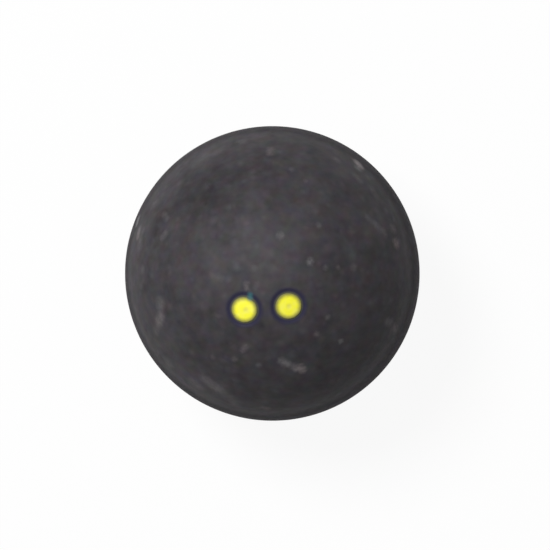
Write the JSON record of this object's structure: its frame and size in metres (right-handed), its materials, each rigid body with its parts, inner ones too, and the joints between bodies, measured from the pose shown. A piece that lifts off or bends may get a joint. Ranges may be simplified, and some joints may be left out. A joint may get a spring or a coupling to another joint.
{
  "type": "squash ball",
  "caption": "Hollow matt black rubber squash ball: moulded half shells bonded rim to rim, with yellow speed dots printed near one pole.",
  "frame": {"origin": "centre of the ball", "axes": "+Z through the pole of the half shell that carries the dots, square to the seam plane; the dots are on the -Y side of that pole, side by side along X"},
  "size_m": [0.04, 0.04, 0.04],
  "materials": {
    "rubber": "matt buffed charcoal black, lightly scuffed",
    "bond": "dull cured rubber solution",
    "dot_ink": "bright yellow printing ink, satin"
  },
  "bodies": {
    "root": {"upper_half_shell": "rubber", "lower_half_shell": "rubber", "seam_bond": "bond", "left_speed_dot": "dot_ink", "right_speed_dot": "dot_ink"}
  },
  "joints": []
}
